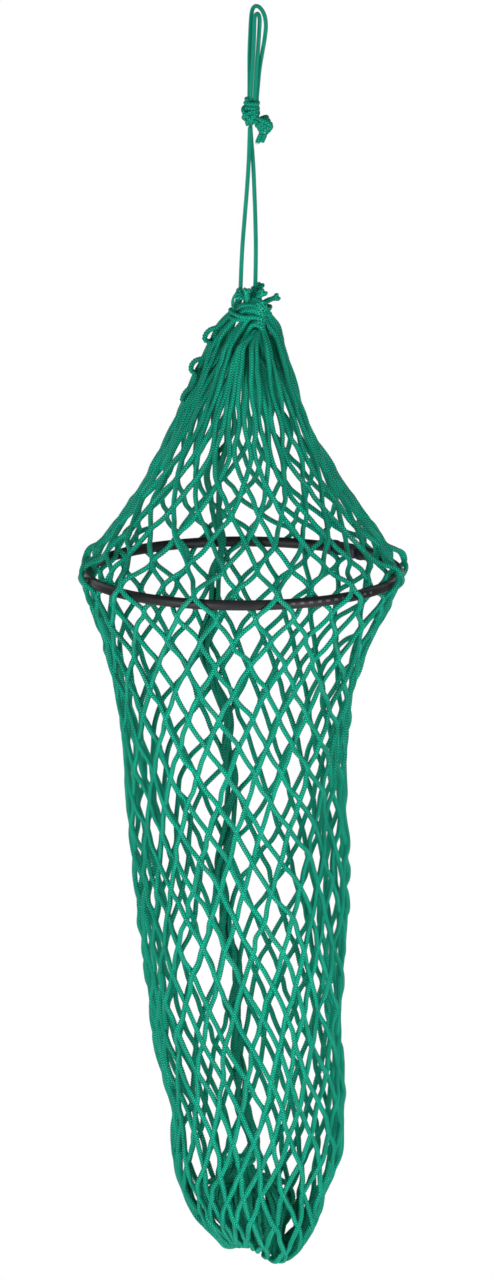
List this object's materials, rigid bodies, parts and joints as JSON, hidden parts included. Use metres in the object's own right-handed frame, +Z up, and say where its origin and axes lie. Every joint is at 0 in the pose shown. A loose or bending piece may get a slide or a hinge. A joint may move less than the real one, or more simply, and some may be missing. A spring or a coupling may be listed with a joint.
{
  "type": "hooped net bag",
  "caption": "Long hanging net bag of braided green netting, kept open by a black pipe hoop and drawn shut by a drawcord that ends in a knotted hanging loop.",
  "frame": {"origin": "inside the top of the hanging loop, where a hook bears", "axes": "+Z up along the hanging bag, -Y towards the viewer, +X to the viewer's right"},
  "size_m": [0.4029, 0.403, 1.5955],
  "materials": {
    "netting": "braided, matt",
    "drawcord": "braided, satin",
    "black_pipe": "extruded, satin",
    "blue_tie": "moulded, satin"
  },
  "bodies": {
    "hanger": {"hang_loop_outer": "drawcord", "hang_loop_inner": "drawcord", "loop_knot": "drawcord", "end_knot": "drawcord", "cord_tail_long": "drawcord", "cord_tail_short": "drawcord"},
    "cord_legs": {"drawcord_leg_left": "drawcord", "drawcord_leg_right": "drawcord"},
    "mouth": {"mouth_gather": "netting", "mouth_cord_turn_1": "drawcord", "mouth_cord_turn_2": "drawcord", "mouth_mesh_loop": "netting", "cut_end_1": "netting", "cut_end_2": "netting", "cut_end_3": "netting", "cut_end_4": "netting", "cone_band_1": "netting"},
    "cone_2": {"cone_band_2": "netting", "seam_cone_2": "netting"},
    "cone_3": {"cone_band_3": "netting", "seam_cone_3": "netting"},
    "hoop": {"shoulder_upper": "netting", "shoulder_lower": "netting", "hoop_pipe": "black_pipe", "hoop_plug": "black_pipe", "hoop_sleeve": "black_pipe", "hoop_band_left": "black_pipe", "hoop_band_screw_left": "black_pipe", "hoop_band_middle": "blue_tie", "hoop_band_screw_middle": "blue_tie", "hoop_band_right": "black_pipe", "hoop_band_screw_right": "black_pipe", "seam_shoulder": "netting"},
    "bag_1": {"bag_band_1": "netting", "seam_bag_1": "netting"},
    "bag_2": {"bag_band_2": "netting", "seam_bag_2": "netting"},
    "bag_3": {"bag_band_3": "netting", "seam_bag_3": "netting"},
    "base": {"bag_base": "netting", "base_dimple": "netting", "base_gather": "netting", "base_cord_turn_1": "drawcord", "base_cord_turn_2": "drawcord", "base_knot": "drawcord", "seam_base": "netting"}
  },
  "joints": [
    {"name": "cord_swing", "type": "hinge", "parent": "hanger", "child": "cord_legs", "pos_m": [-0.0088, 0, -0.141], "axis": [1, 0, 0], "range_deg": [-40, 40]},
    {"name": "net_swing", "type": "hinge", "parent": "cord_legs", "child": "mouth", "pos_m": [-0.009, 0, -0.382], "axis": [0, 1, 0], "range_deg": [-12, 12]},
    {"name": "cone_fold", "type": "slide", "parent": "mouth", "child": "cone_2", "axis": [0, 0, 1], "range_m": [0, 0.0704]},
    {"name": "cone_fold_2", "type": "slide", "parent": "cone_2", "child": "cone_3", "axis": [0, 0, 1], "range_m": [0, 0.08], "deforming": ["seam_cone_2"]},
    {"name": "cone_fold_3", "type": "slide", "parent": "cone_3", "child": "hoop", "axis": [0, 0, 1], "range_m": [0, 0.072], "deforming": ["seam_cone_3"]},
    {"name": "bag_fold", "type": "slide", "parent": "hoop", "child": "bag_1", "axis": [0, 0, 1], "range_m": [0, 0.092], "deforming": ["seam_shoulder"]},
    {"name": "bag_fold_2", "type": "slide", "parent": "bag_1", "child": "bag_2", "axis": [0, 0, 1], "range_m": [0, 0.112], "deforming": ["seam_bag_1"]},
    {"name": "bag_fold_3", "type": "slide", "parent": "bag_2", "child": "bag_3", "axis": [0, 0, 1], "range_m": [0, 0.112], "deforming": ["seam_bag_2"]},
    {"name": "bag_fold_4", "type": "slide", "parent": "bag_3", "child": "base", "axis": [0, 0, 1], "range_m": [0, 0.216], "deforming": ["seam_bag_3"]}
  ],
  "couplings": [
    {"joint": "cone_fold_2", "follows": "cone_fold", "ratio": 1.1364},
    {"joint": "cone_fold_3", "follows": "cone_fold", "ratio": 1.0227},
    {"joint": "bag_fold_2", "follows": "bag_fold", "ratio": 1.2174},
    {"joint": "bag_fold_3", "follows": "bag_fold", "ratio": 1.2174},
    {"joint": "bag_fold_4", "follows": "bag_fold", "ratio": 2.3478}
  ]
}
